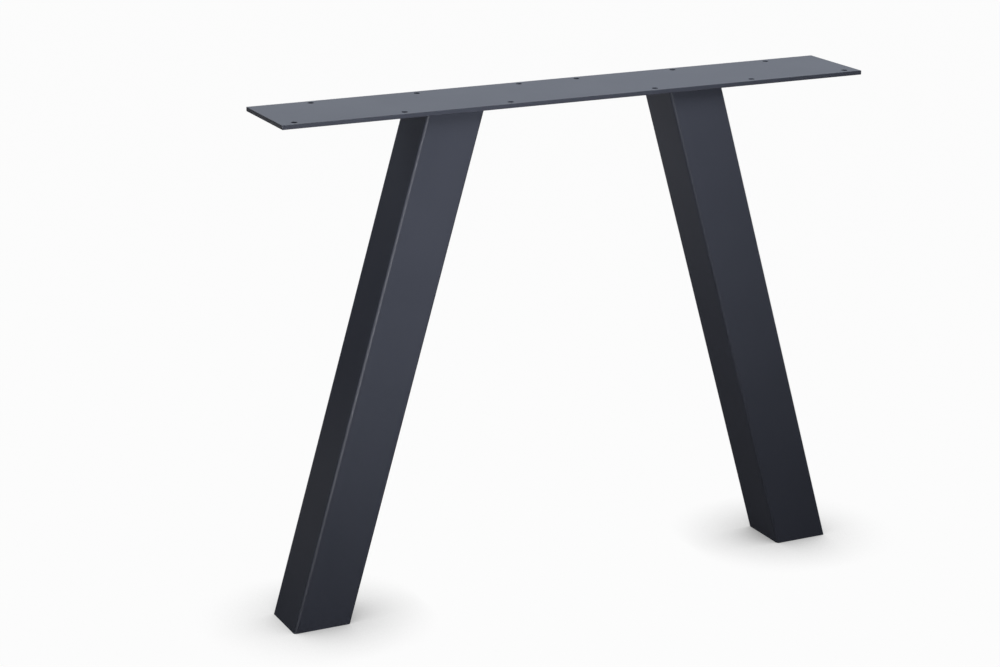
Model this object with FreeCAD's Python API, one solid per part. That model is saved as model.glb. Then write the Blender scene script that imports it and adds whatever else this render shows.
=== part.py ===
# Trestle table leg: a flat steel top plate welded onto two square tube legs that lean outwards to the floor.
# Millimetres. +Z is up and the floor is Z = 0. +X runs along the top plate and +Y across it.
# The origin is on the floor, under the middle of the plate.

import FreeCAD
import Part
import math
import os

# Whole frame
frame_height = 710.0            # floor to the top of the plate
foot_spread = 854.0             # over the outer faces of the legs, at the floor
head_spread = 446.0             # over the outer faces of the legs, at the underside of the plate

# Top plate: a length of rolled flat bar
plate_length = 875.0
plate_width = 130.0
plate_thickness = 6.0
plate_arris = 0.8               # rounding along every edge of the bar

# Screw holes: two staggered rows, each mirrored about the middle of the plate
hole_diameter = 8.4
hole_deburr = 0.4               # chamfer at both mouths of a hole
hole_from_long_edge = 12.0      # both rows, to the hole's centre
hole_from_plate_end = 21.0      # outermost hole of the front row, to its centre
hole_from_middle = 109.5        # innermost hole of the front row, to its centre
hole_stagger = 65.0             # the rear row lies this much further in than the front row
holes_per_half_row = 3

# Legs: square hollow section, cut off level at both ends
tube_size = 80.0
tube_wall = 2.0
tube_outside_corner = 4.0       # radius
tube_inside_corner = 2.0        # radius

# Closing plate in the mouth of each foot, flush with the end of the tube
foot_plate_thickness = 3.0
foot_plate_corner_relief = 1.0  # its corner radius is this much larger than the tube's inside corner

# Fillet weld all round the head of each leg
weld_leg = 4.0                  # along the plate and down the tube
weld_crown = 0.5                # how far the weld's face bulges beyond a flat fillet

# Worked out from the sizes above
plate_underside = frame_height - plate_thickness
lean = (foot_spread - head_spread) / 2 / plate_underside
# A leaning tube that is cut off level shows its square section stretched along X by this factor
level_stretch = math.hypot(1.0, lean)
foot_centre = foot_spread / 2 - tube_size / 2 * level_stretch
hole_row = plate_length / 2 - hole_from_plate_end - hole_from_middle
hole_pitch = hole_row / (holes_per_half_row - 1)


def leg_centre(side, z):
    """X of a leg's centre line at height z; side is -1 for the left leg and +1 for the right one."""
    return side * (foot_centre - lean * z)


def level_outline(centre_x, z, half_x, half_y, radius_x, radius_y):
    """Closed wire at height z: a rectangle about (centre_x, 0) with elliptical quarter-round corners."""
    corners = []
    for quarter, (side_x, side_y) in enumerate(((1, 1), (-1, 1), (-1, -1), (1, -1))):
        x = centre_x + side_x * (half_x - radius_x)
        y = side_y * (half_y - radius_y)
        ellipse = Part.Ellipse(FreeCAD.Vector(x, y, z), radius_x, radius_y)
        start = quarter * math.pi / 2
        corners.append(Part.ArcOfEllipse(ellipse, start, start + math.pi / 2))
    edges = []
    for corner, following in zip(corners, corners[1:] + corners[:1]):
        edges.append(corner.toShape())
        edges.append(Part.makeLine(corner.EndPoint, following.StartPoint))
    return Part.Wire(edges)


def tube_outline(side, z, half_size, corner):
    """Level section, at height z, of a square bar that leans as the leg does."""
    return level_outline(leg_centre(side, z), z, half_size * level_stretch, half_size,
                         corner * level_stretch, corner)


def leaning_bar(side, bottom, height, half_size, corner):
    """Square bar along the leg, with level ends at bottom and bottom + height."""
    section = Part.Face(tube_outline(side, bottom, half_size, corner))
    return section.extrude(FreeCAD.Vector(-side * lean * height, 0, height))


def make_leg_tube(side):
    outside = leaning_bar(side, 0, plate_underside, tube_size / 2, tube_outside_corner)
    inside = leaning_bar(side, 0, plate_underside, tube_size / 2 - tube_wall, tube_inside_corner)
    return outside.cut(inside)


def make_foot_plate(side):
    # Its edges lean with the tube's walls and bear on them; the relieved corners clear the inside radii
    return leaning_bar(side, 0, foot_plate_thickness, tube_size / 2 - tube_wall,
                       tube_inside_corner + foot_plate_corner_relief)


def weld_outline(side, drop, reach):
    """Edge of the weld at a drop below the plate, standing off the tube by reach."""
    z = plate_underside - drop
    half_size = tube_size / 2
    return level_outline(leg_centre(side, z), z, half_size * level_stretch + reach, half_size + reach,
                         tube_outside_corner * level_stretch + reach, tube_outside_corner + reach)


def make_head_weld(side):
    # The weld runs from its toe on the plate, over a slight crown, to its toe on the tube
    plate_toe = weld_outline(side, 0, weld_leg)
    crown = weld_outline(side, weld_leg / 2, weld_leg / 2 + weld_crown)
    tube_toe = weld_outline(side, weld_leg, 0)
    body = Part.makeLoft([tube_toe, crown, plate_toe], True, True)
    tube_bottom = plate_underside - 2 * weld_leg
    tube = leaning_bar(side, tube_bottom, 2 * weld_leg, tube_size / 2, tube_outside_corner)
    return body.cut(tube)


def hole_places():
    """Centres of the screw holes as (x, y) pairs."""
    row_y = plate_width / 2 - hole_from_long_edge
    places = []
    for y, start_x in ((-row_y, 0.0), (row_y, hole_stagger)):
        for index in range(holes_per_half_row):
            x = plate_length / 2 - hole_from_plate_end - start_x - index * hole_pitch
            places += [(-x, y), (x, y)]
    return places


def make_hole(x, y):
    """Solid to cut away for one screw hole, with a chamfer at both mouths."""
    radius = hole_diameter / 2
    mouth = radius + hole_deburr
    top = FreeCAD.Vector(x, y, frame_height)
    bottom = FreeCAD.Vector(x, y, plate_underside)
    up = FreeCAD.Vector(0, 0, 1)
    shank = Part.makeCylinder(radius, plate_thickness, bottom)
    return shank.multiFuse([Part.makeCone(mouth, radius, hole_deburr, bottom, up),
                            Part.makeCone(mouth, radius, hole_deburr, top, -up)])


def make_top_plate():
    corner = FreeCAD.Vector(-plate_length / 2, -plate_width / 2, plate_underside)
    bar = Part.makeBox(plate_length, plate_width, plate_thickness, corner)
    bar = bar.makeFillet(plate_arris, bar.Edges)
    return bar.cut([make_hole(x, y) for x, y in hole_places()])


pieces = {"top_plate": make_top_plate()}
for side_name, side in (("left", -1), ("right", 1)):
    pieces[side_name + "_leg_tube"] = make_leg_tube(side)
    pieces[side_name + "_head_weld"] = make_head_weld(side)
    pieces[side_name + "_foot_plate"] = make_foot_plate(side)

os.makedirs("parts", exist_ok=True)
for name, shape in pieces.items():
    shape.exportStep("parts/" + name + ".step")
    print(name, "solids", len(shape.Solids), "valid", shape.isValid(), "volume", round(shape.Volume, 1))
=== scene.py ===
# %% [markdown]
# # A welded trestle leg for a table
# The real object is a flat steel plate on two square tubes that lean outwards to the floor. It is welded
# together, blasted, and sprayed with a satin graphite powder coat that is baked hard in an oven. The
# solids come ready made, at their real size. This lesson dresses them: a finish for the coated steel, the
# weld beads under the plate, and a plain studio with a camera. Lengths are in metres, but for the lens.

# %% Load the solids
import math

import bmesh
import bpy
from mathutils import Matrix, Vector


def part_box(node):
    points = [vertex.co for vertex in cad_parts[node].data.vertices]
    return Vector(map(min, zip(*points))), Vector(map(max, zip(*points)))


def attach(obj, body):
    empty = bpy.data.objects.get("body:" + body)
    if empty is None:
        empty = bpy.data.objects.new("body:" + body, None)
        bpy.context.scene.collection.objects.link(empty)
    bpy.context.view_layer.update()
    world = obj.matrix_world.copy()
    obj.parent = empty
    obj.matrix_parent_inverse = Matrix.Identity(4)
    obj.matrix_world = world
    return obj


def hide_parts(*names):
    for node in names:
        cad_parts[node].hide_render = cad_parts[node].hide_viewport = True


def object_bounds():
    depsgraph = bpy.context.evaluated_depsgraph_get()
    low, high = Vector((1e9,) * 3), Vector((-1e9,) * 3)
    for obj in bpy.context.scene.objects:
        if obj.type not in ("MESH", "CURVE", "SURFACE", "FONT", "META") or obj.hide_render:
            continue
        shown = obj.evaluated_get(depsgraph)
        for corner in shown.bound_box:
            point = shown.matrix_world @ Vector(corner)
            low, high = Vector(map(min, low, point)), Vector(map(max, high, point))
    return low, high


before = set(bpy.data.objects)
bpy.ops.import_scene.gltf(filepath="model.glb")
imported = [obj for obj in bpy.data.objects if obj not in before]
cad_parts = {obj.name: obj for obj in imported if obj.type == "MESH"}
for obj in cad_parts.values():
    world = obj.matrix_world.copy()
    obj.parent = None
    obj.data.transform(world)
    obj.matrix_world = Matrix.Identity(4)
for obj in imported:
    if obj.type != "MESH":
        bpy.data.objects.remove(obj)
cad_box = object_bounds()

for node_name in sorted(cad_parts):
    low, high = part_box(node_name)
    print(node_name, "measures", [round(1000 * side, 1) for side in high - low], "mm")

# %% [markdown]
# ## The camera
# The camera comes first, because every finish is judged through it. It could be dragged into place by
# eye, but it is easier to describe it as a photographer would: how far to the left of straight ahead it
# stands, how high it is above the horizon, how far away it is, and what it points at. A long lens from
# some metres away keeps the legs nearly parallel.

# %% Camera
CAMERA_AZIMUTH = math.radians(-26.117)      # negative is to the left of straight ahead
CAMERA_ELEVATION = math.radians(16.916)
CAMERA_ROLL = math.radians(0.213)
CAMERA_DISTANCE = 3.3347
CAMERA_TARGET = Vector((-0.1299, -0.065, 0.3954))
CAMERA_LENS = 88.71                         # in millimetres, like the sensor
SENSOR_WIDTH = 36.0


def direction(azimuth, elevation):
    """Unit vector from the object towards a place; azimuth 0 is straight in front of it."""
    level = math.cos(elevation)
    return Vector((math.sin(azimuth) * level, -math.cos(azimuth) * level, math.sin(elevation)))


def add_camera():
    camera = bpy.data.objects.new("camera", bpy.data.cameras.new("camera"))
    camera.data.lens = CAMERA_LENS
    camera.data.sensor_width = SENSOR_WIDTH
    back = direction(CAMERA_AZIMUTH, CAMERA_ELEVATION)
    turn = (-back).to_track_quat("-Z", "Y").to_matrix().to_4x4() @ Matrix.Rotation(CAMERA_ROLL, 4, "Z")
    camera.matrix_world = Matrix.Translation(CAMERA_TARGET + CAMERA_DISTANCE * back) @ turn
    bpy.context.scene.collection.objects.link(camera)
    bpy.context.scene.camera = camera
    return camera


camera = add_camera()
print("camera at", [round(value, 3) for value in camera.location], "with a lens of", CAMERA_LENS, "mm")

# %% [markdown]
# ## The powder coat
# Powder coat is a dry paint, melted in an oven. It flows almost flat, but not quite: it keeps a shallow
# orange peel a few millimetres across, and a fine grain on top of that. The pigment and the gloss drift
# slightly over a hand's breadth, which gives large faces a faint cloud. One flat colour would look like
# plastic, and an image would stretch over the corners, so the finish is made of noise in the object's own
# coordinates, which has no seams on any piece.

# %% Powder coat
COAT_DARK = (0.050, 0.055, 0.074, 1.0)
COAT_LIGHT = (0.060, 0.065, 0.086, 1.0)
COAT_SPECULAR = 0.25                        # a satin coat reflects little when seen square on
COAT_ROUGHNESS = (0.34, 0.40)
CLOUDS_PER_METRE = 9.0
PEEL_PER_METRE = 330.0
GRAIN_PER_METRE = 1900.0
CLOUD_DETAIL = 3.0                          # octaves of finer noise within the clouds
FINE_DETAIL = 1.0                           # and within the peel and the grain
PEEL_HEIGHT = 0.000018
GRAIN_HEIGHT = 0.000005


def add_node(tree, kind, **settings):
    """New shader node, with its settings and the values of its unlinked sockets."""
    node = tree.nodes.new(kind)
    for name, value in settings.items():
        if name in node.inputs:
            node.inputs[name].default_value = value
        else:
            setattr(node, name, value)
    return node


def noise(tree, coordinates, per_metre, detail):
    texture = add_node(tree, "ShaderNodeTexNoise", Scale=per_metre, Detail=detail)
    tree.links.new(coordinates.outputs["Object"], texture.inputs["Vector"])
    return texture.outputs["Fac"]


def bump(tree, height, distance, below=None):
    """Bump node for a height from 0 to 1 that stands for a distance in metres."""
    node = add_node(tree, "ShaderNodeBump", Strength=1.0, Distance=distance)
    tree.links.new(height, node.inputs["Height"])
    if below is not None:
        tree.links.new(below, node.inputs["Normal"])
    return node.outputs["Normal"]


def make_powder_coat(name, peel_height, grain_height):
    material = bpy.data.materials.new(name)
    material.use_nodes = True
    tree = material.node_tree
    shader = tree.nodes["Principled BSDF"]
    shader.inputs["Specular IOR Level"].default_value = COAT_SPECULAR
    coordinates = add_node(tree, "ShaderNodeTexCoord")
    clouds = noise(tree, coordinates, CLOUDS_PER_METRE, CLOUD_DETAIL)

    colour = add_node(tree, "ShaderNodeMix", data_type="RGBA")
    colour.inputs["A"].default_value = COAT_DARK
    colour.inputs["B"].default_value = COAT_LIGHT
    tree.links.new(clouds, colour.inputs["Factor"])
    tree.links.new(colour.outputs["Result"], shader.inputs["Base Color"])

    gloss = add_node(tree, "ShaderNodeMapRange")
    gloss.inputs["To Min"].default_value = COAT_ROUGHNESS[0]
    gloss.inputs["To Max"].default_value = COAT_ROUGHNESS[1]
    tree.links.new(clouds, gloss.inputs["Value"])
    tree.links.new(gloss.outputs["Result"], shader.inputs["Roughness"])

    peel = bump(tree, noise(tree, coordinates, PEEL_PER_METRE, FINE_DETAIL), peel_height)
    grain = bump(tree, noise(tree, coordinates, GRAIN_PER_METRE, FINE_DETAIL), grain_height, peel)
    tree.links.new(grain, shader.inputs["Normal"])
    return material


powder_coat = make_powder_coat("graphite_powder_coat", PEEL_HEIGHT, GRAIN_HEIGHT)
for node_name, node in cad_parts.items():
    node.data.materials.clear()
    node.data.materials.append(powder_coat)
print("coated", len(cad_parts), "pieces with", powder_coat.name)

# %% [markdown]
# ## The weld beads
# Each tube is joined to the plate by a fillet weld that runs right round its head. A hand-laid bead is a
# row of small frozen pools, so its face has ripples, curved like fish scales, and a slightly fuller place
# where the end of the run overlaps its start. The bead could be a bump texture on the smooth ring, but a
# bump leaves the outline straight. Here a flat grid is wrapped: its long way runs round the tube, and its
# short way round the bead's own section. Each grid point is then lifted by the ripples.

# %% Measures of the weld, read from the solids


def middle(node_name):
    low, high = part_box(node_name)
    return (low + high) / 2


def measure_weld(side_name):
    """Size, place and lean of the ring of weld at the head of one leg."""
    low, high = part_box(side_name + "_head_weld")
    leg_size = high.z - low.z
    centre = Vector(((low.x + high.x) / 2, (low.y + high.y) / 2, high.z))
    foot = middle(side_name + "_foot_plate")
    lean = (foot.x - centre.x) / (centre.z - foot.z)
    half_x = (high.x - low.x) / 2 - leg_size
    half_y = (high.y - low.y) / 2 - leg_size
    return {"centre": centre, "size": leg_size, "lean": lean, "half_x": half_x, "half_y": half_y}


welds = {side_name: measure_weld(side_name) for side_name in ("left", "right")}
for side_name, weld in welds.items():
    size_mm = round(1000 * weld["size"], 2)
    print(side_name, "weld has a leg of", size_mm, "mm on a lean of", round(weld["lean"], 4))

# %% The path round the tube
TUBE_CORNER = 0.004                         # radius of the tube's outside corners in the solids


def outline_length(weld):
    straight = 4 * (weld["half_x"] + weld["half_y"] - 2 * TUBE_CORNER)
    return straight + 2 * math.pi * TUBE_CORNER


def outline_point(weld, distance):
    """Point and outward direction on the tube's outline, a distance along it from the middle of one side."""
    run_x = 2 * (weld["half_x"] - TUBE_CORNER)
    run_y = 2 * (weld["half_y"] - TUBE_CORNER)
    bend = math.pi / 2 * TUBE_CORNER
    distance = (distance + run_y / 2) % outline_length(weld)
    angle = 0.0
    corner = Vector((run_x / 2, -run_y / 2))
    for run in (run_y, run_x, run_y, run_x):
        outward = Vector((math.cos(angle), math.sin(angle)))
        along = Vector((-outward.y, outward.x))
        if distance <= run:
            return corner + along * distance + outward * TUBE_CORNER, outward
        distance -= run
        corner += along * run
        if distance <= bend:
            angle += distance / TUBE_CORNER
            outward = Vector((math.cos(angle), math.sin(angle)))
            return corner + outward * TUBE_CORNER, outward
        distance -= bend
        angle += math.pi / 2
    # Only a rounding error gets past the last corner, and it belongs at the start
    return corner + Vector((TUBE_CORNER, 0.0)), Vector((1.0, 0.0))


print("a bead runs for", round(1000 * outline_length(welds["left"])), "mm round its tube")

# %% The face of the bead
BEAD_CROWN = 0.0004
BEAD_SINK = 0.0001                          # the toes dip this far into the steel, so that no gap shows
RIPPLE_PITCH = 0.0021
RIPPLE_HEIGHT = 0.00045
RIPPLE_CURVE = 0.0012                       # how far the middle of a ripple runs ahead of its ends
TIE_IN_HEIGHT = 0.0006
TIE_IN_LENGTH = 0.005
# How far an unsteady hand shifts the ripples, and over what length
HAND_SWAY = ((0.0005, 0.0071), (0.0004, 0.0123))


def ripple(distance, across):
    """Height of the ripples at a distance along the bead, across it from 0 at the plate to 1 at the tube."""
    uneven = sum(shift * math.sin(distance / length) for shift, length in HAND_SWAY)
    curved = distance + uneven - RIPPLE_CURVE * (2 * across - 1) ** 2
    scallop = abs(math.sin(math.pi * curved / RIPPLE_PITCH)) - 0.5
    return RIPPLE_HEIGHT * scallop


def bead_face(weld, distance, across):
    """How far the bead's face stands out from the tube, and how far below the plate it is."""
    swell = math.sin(math.pi * across)
    length = outline_length(weld)
    from_tie_in = min(distance, length - distance)
    crown = BEAD_CROWN + ripple(distance, across)
    crown += TIE_IN_HEIGHT * math.exp(-(from_tie_in / TIE_IN_LENGTH) ** 2)
    outwards = swell * crown / math.sqrt(2) - BEAD_SINK
    return weld["size"] * (1 - across) + outwards, weld["size"] * across + outwards


for across in (0.0, 0.5, 1.0):
    reach, drop = bead_face(welds["left"], 0.0, across)
    print("bead stands out", round(1000 * reach, 2), "mm at", round(1000 * drop, 2), "mm below the plate")

# %% Wrap a grid into a bead
BEAD_STEP = 0.0003
FACE_STEPS = 6                              # grid steps across the face of the bead
BACK_STEPS = 2                              # one up the tube and one along the plate
SEAM_GAP = 0.000001                         # points that lie closer than this are one


def wrap_point(weld, along, around):
    """Place on the bead of a grid point, both ways given from 0 to 1."""
    distance = along * outline_length(weld)
    step = around * (FACE_STEPS + BACK_STEPS)
    if step <= FACE_STEPS:
        reach, drop = bead_face(weld, distance, step / FACE_STEPS)
    else:
        tube_toe = Vector(bead_face(weld, distance, 1.0))
        root = Vector((-BEAD_SINK, -BEAD_SINK))
        plate_toe = Vector(bead_face(weld, distance, 0.0))
        back = step - FACE_STEPS
        reach, drop = tube_toe.lerp(root, back) if back <= 1 else root.lerp(plate_toe, back - 1)
    point, outward = outline_point(weld, distance)
    place = point + outward * reach
    return weld["centre"] + Vector((place.x + weld["lean"] * drop, place.y, -drop))


def make_bead(side_name):
    weld = welds[side_name]
    mesh_builder = bmesh.new()
    steps_along = round(outline_length(weld) / BEAD_STEP)
    steps_around = FACE_STEPS + BACK_STEPS
    bmesh.ops.create_grid(mesh_builder, x_segments=steps_along, y_segments=steps_around, size=0.5)
    for vertex in mesh_builder.verts:
        vertex.co = wrap_point(weld, vertex.co.x + 0.5, vertex.co.y + 0.5)
    bmesh.ops.remove_doubles(mesh_builder, verts=mesh_builder.verts, dist=SEAM_GAP)
    bmesh.ops.recalc_face_normals(mesh_builder, faces=mesh_builder.faces)
    for face in mesh_builder.faces:
        face.smooth = True
    mesh = bpy.data.meshes.new(side_name + "_weld_bead")
    mesh_builder.to_mesh(mesh)
    mesh_builder.free()
    bead = bpy.data.objects.new(mesh.name, mesh)
    bpy.context.scene.collection.objects.link(bead)
    return bead


# %% Lay both beads
WELD_PEEL_HEIGHT = 0.000009                 # the coat runs thinner over the ripples
weld_coat = make_powder_coat("graphite_coat_on_weld", WELD_PEEL_HEIGHT, GRAIN_HEIGHT)
for side_name in welds:
    bead = make_bead(side_name)
    bead.data.materials.append(weld_coat)
    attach(bead, "root")
    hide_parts(side_name + "_head_weld")
    print(bead.name, "has", len(bead.data.polygons), "faces")

# %% [markdown]
# ## White, without more light
# The leg stands on a pale floor in white surroundings. White could come from stronger lamps, but they
# would wash the dark coat out. Instead the floor and the world answer each kind of ray: the camera sees
# nearly plain white, mirror reflections see their own share of white, and the light that falls on the
# steel stays modest.

# %% How white each kind of ray finds it
WHITE = (1.0, 1.0, 1.0, 1.0)
CAMERA_WHITENESS = 0.97                     # for the camera, and for rays through glass


def share_of_white(tree, direct, mirror):
    """How much plain white a ray sees: direct for camera and see-through rays, and mirror for mirror rays.

    The mirror's share is a number, or another node's output.
    """
    rays = add_node(tree, "ShaderNodeLightPath")
    most = None
    shares = {"Is Camera Ray": direct, "Is Transmission Ray": direct, "Is Glossy Ray": mirror}
    for name, share in shares.items():
        part = add_node(tree, "ShaderNodeMath", operation="MULTIPLY")
        if isinstance(share, float):
            part.inputs[1].default_value = share
        else:
            tree.links.new(share, part.inputs[1])
        tree.links.new(rays.outputs[name], part.inputs[0])
        if most is None:
            most = part.outputs["Value"]
            continue
        larger = add_node(tree, "ShaderNodeMath", operation="MAXIMUM")
        tree.links.new(most, larger.inputs[0])
        tree.links.new(part.outputs["Value"], larger.inputs[1])
        most = larger.outputs["Value"]
    return most


print("the camera sees", CAMERA_WHITENESS, "of full white")

# %% [markdown]
# ## The floor
# The floor is one flat sheet of matte grey. What the camera sees of it is white, dimmed where something
# stands near: Ambient Occlusion measures that, and gives a soft painted contact shadow round each foot.
# The little that is not white is true shading, so that the lamps leave their shadows too. Satin steel
# mirrors a floor at a low angle strongly, and a fully white one would turn the sides of the legs pale, so
# the mirror gets a small share only. That share is none near the leg, which paints shade on the floor round
# it for mirror rays, and it grows with the distance. A foot mirrors that painted shade beside it and a head
# mirrors the floor further off, so the legs grow lighter upwards.

# %% Floor
FLOOR_HALF_SIZE = 12.0
FLOOR_COLOUR = (0.40, 0.40, 0.41, 1.0)
FLOOR_IN_MIRROR = 0.22                      # far from the leg
SHADE_RADIUS = 0.6                          # the floor is dark to the mirror up to here
LIGHT_RADIUS = 1.4                          # and has its full share from here on
CONTACT_SHADOW_REACH = 0.12
CONTACT_SHADOW_SAMPLES = 8


def make_sheet(name, half_width, half_height):
    """Flat rectangle that marks a part of the studio and not of the leg."""
    sheet_builder = bmesh.new()
    bmesh.ops.create_grid(sheet_builder, x_segments=1, y_segments=1, size=1.0)
    bmesh.ops.scale(sheet_builder, vec=(half_width, half_height, 1.0), verts=sheet_builder.verts)
    mesh = bpy.data.meshes.new(name)
    sheet_builder.to_mesh(mesh)
    sheet_builder.free()
    sheet = bpy.data.objects.new(name, mesh)
    bpy.context.scene.collection.objects.link(sheet)
    return sheet


def mirror_share_of_floor(tree):
    """Node output that grows with the distance from the leg, from none to the floor's full share."""
    place = add_node(tree, "ShaderNodeTexCoord")
    distance = add_node(tree, "ShaderNodeVectorMath", operation="LENGTH")
    tree.links.new(place.outputs["Object"], distance.inputs[0])
    # Painted shade: mirror rays see less white on the floor near the leg, more further off
    ramp = add_node(tree, "ShaderNodeMapRange")
    ramp.inputs["From Min"].default_value = SHADE_RADIUS
    ramp.inputs["From Max"].default_value = LIGHT_RADIUS
    ramp.inputs["To Max"].default_value = FLOOR_IN_MIRROR
    tree.links.new(distance.outputs["Value"], ramp.inputs["Value"])
    return ramp.outputs["Result"]


def make_floor():
    floor = make_sheet("floor", FLOOR_HALF_SIZE, FLOOR_HALF_SIZE)
    material = bpy.data.materials.new("pale_floor")
    material.use_nodes = True
    tree = material.node_tree
    tree.nodes.clear()
    matte = add_node(tree, "ShaderNodeBsdfDiffuse", Color=FLOOR_COLOUR)
    white = add_node(tree, "ShaderNodeEmission", Color=WHITE)
    # Painted contact shadow: the white dims by Ambient Occlusion, not by the lamps
    nearness = add_node(tree, "ShaderNodeAmbientOcclusion", Distance=CONTACT_SHADOW_REACH)
    nearness.samples = CONTACT_SHADOW_SAMPLES
    tree.links.new(nearness.outputs["AO"], white.inputs["Strength"])
    blend = add_node(tree, "ShaderNodeMixShader")
    output = add_node(tree, "ShaderNodeOutputMaterial")
    whiteness = share_of_white(tree, CAMERA_WHITENESS, mirror_share_of_floor(tree))
    tree.links.new(whiteness, blend.inputs["Fac"])
    tree.links.new(matte.outputs["BSDF"], blend.inputs[1])
    tree.links.new(white.outputs["Emission"], blend.inputs[2])
    tree.links.new(blend.outputs["Shader"], output.inputs["Surface"])
    floor.data.materials.append(material)


make_floor()
print("floor reaches", FLOOR_HALF_SIZE, "m each way")

# %% [markdown]
# ## The surroundings
# The world is as white as the floor to the camera, so that no horizon shows. To mirror rays it is fully
# bright and slightly blue, like the sky in a north window, which gives the top of the plate its cool
# sheen. As a light it is weak: it only keeps the shadows open.

# %% World
WORLD_IN_MIRROR = 1.0
WHITE_IN_MIRROR = (0.82, 0.885, 1.0, 1.0)
AMBIENT_COLOUR = (0.93, 0.95, 1.0, 1.0)
AMBIENT_STRENGTH = 0.09


def make_world():
    world = bpy.data.worlds.new("white_surroundings")
    bpy.context.scene.world = world
    world.use_nodes = True
    tree = world.node_tree
    tree.nodes.clear()
    ambient = add_node(tree, "ShaderNodeBackground", Color=AMBIENT_COLOUR, Strength=AMBIENT_STRENGTH)
    white = add_node(tree, "ShaderNodeBackground", Strength=1.0)
    tint = add_node(tree, "ShaderNodeMix", data_type="RGBA")
    tint.inputs["A"].default_value = WHITE
    tint.inputs["B"].default_value = WHITE_IN_MIRROR
    rays = add_node(tree, "ShaderNodeLightPath")
    tree.links.new(rays.outputs["Is Glossy Ray"], tint.inputs["Factor"])
    tree.links.new(tint.outputs["Result"], white.inputs["Color"])
    blend = add_node(tree, "ShaderNodeMixShader")
    output = add_node(tree, "ShaderNodeOutputWorld")
    tree.links.new(share_of_white(tree, CAMERA_WHITENESS, WORLD_IN_MIRROR), blend.inputs["Fac"])
    tree.links.new(ambient.outputs["Background"], blend.inputs[1])
    tree.links.new(white.outputs["Background"], blend.inputs[2])
    tree.links.new(blend.outputs["Shader"], output.inputs["Surface"])


make_world()
bpy.context.scene.view_settings.view_transform = "Standard"
print("world lights the leg with a strength of", AMBIENT_STRENGTH)

# %% [markdown]
# ## A black card
# On white, the sides of a dark satin object turn pale, because they mirror the white beside them.
# Photographers hang a black card just outside the picture, where those sides look, and so does this
# studio. It hangs clear of the floor, where it would leave a contact shadow, and it is hidden from the
# camera, wherever that stands.

# %% Black card
CARD_PLACE = Vector((-1.41, 1.15, 0.77))
CARD_HALF_WIDTH = 0.77
CARD_HALF_HEIGHT = 0.62
CARD_COLOUR = (0.012, 0.012, 0.013, 1.0)
CARD_ROUGHNESS = 0.9


def make_card():
    card = make_sheet("black_card", CARD_HALF_WIDTH, CARD_HALF_HEIGHT)
    card.matrix_world = Matrix.Translation(CARD_PLACE) @ Matrix.Rotation(math.radians(90), 4, "X")
    card.visible_camera = False
    material = bpy.data.materials.new("black_card")
    material.use_nodes = True
    shader = material.node_tree.nodes["Principled BSDF"]
    shader.inputs["Base Color"].default_value = CARD_COLOUR
    shader.inputs["Roughness"].default_value = CARD_ROUGHNESS
    card.data.materials.append(material)


make_card()
print("card hangs", round(CARD_PLACE.z - CARD_HALF_HEIGHT, 2), "m above the floor")

# %% [markdown]
# ## The lamps
# A softbox is a lamp behind a large sheet of cloth: its size makes the light soft, and its distance
# decides how fast the light fades. A large one hangs over the front of the leg, close enough that the
# heads of the legs are brighter than their feet. A small one stands low in front, with a grid that
# narrows its light to the left leg, and a wide one behind keeps the back from going black.
#
# The last two act on the gloss alone, so that the flat faces stay as dark as they are. A tall, narrow one
# at the left draws the bright line down that leg's round corner. A faint one with a narrow grid stands in
# front of the black card, and keeps the left end of the plate, which mirrors the card, from going black.

# %% Lamps, in watts, metres and degrees
KEY = dict(azimuth=15, elevation=42, distance=1.1, width=1.0, height=0.6, power=6.2, spread=180)
KEY_AIM = Vector((-0.05, 0.0, 0.66))
STRIP = dict(azimuth=-20, elevation=-10, distance=1.6, width=0.3, height=0.8, power=1.85, spread=56)
STRIP_AIM = Vector((-0.165, 0.0, 0.64))
GLEAM = dict(azimuth=-50, elevation=0, distance=1.8, width=0.12, height=0.9, power=11.5, spread=180)
GLEAM_AIM = Vector((-0.32, 0.0, 0.46))
GLOW = dict(azimuth=-154, elevation=-17, distance=1.15, width=0.15, height=0.15, power=0.0025, spread=16)
GLOW_AIM = Vector((cad_box[0].x, 0.0, cad_box[1].z))
FILL = dict(azimuth=-150, elevation=40, distance=2.0, width=1.6, height=0.8, power=6.0, spread=180)
FILL_AIM = Vector((0.0, 0.0, 0.4))


def add_softbox(name, aim, azimuth, elevation, distance, width, height, power, spread):
    """Rectangular lamp that stands round the aim as the camera does, and points at it."""
    lamp = bpy.data.lights.new(name, "AREA")
    lamp.shape = "RECTANGLE"
    lamp.size = width
    lamp.size_y = height
    lamp.energy = power
    lamp.spread = math.radians(spread)
    softbox = bpy.data.objects.new(name, lamp)
    away = direction(math.radians(azimuth), math.radians(elevation))
    softbox.location = aim + distance * away
    softbox.rotation_euler = (-away).to_track_quat("-Z", "Y").to_euler()
    bpy.context.scene.collection.objects.link(softbox)
    print(name, "gives", power, "W from", [round(value, 2) for value in softbox.location])
    return softbox


add_softbox("overhead_softbox", KEY_AIM, **KEY)
add_softbox("low_strip", STRIP_AIM, **STRIP)
add_softbox("rear_fill", FILL_AIM, **FILL)
gleam = add_softbox("corner_gleam", GLEAM_AIM, **GLEAM)
glow = add_softbox("plate_end_glow", GLOW_AIM, **GLOW)
for gloss_lamp in (gleam, glow):
    gloss_lamp.visible_diffuse = False
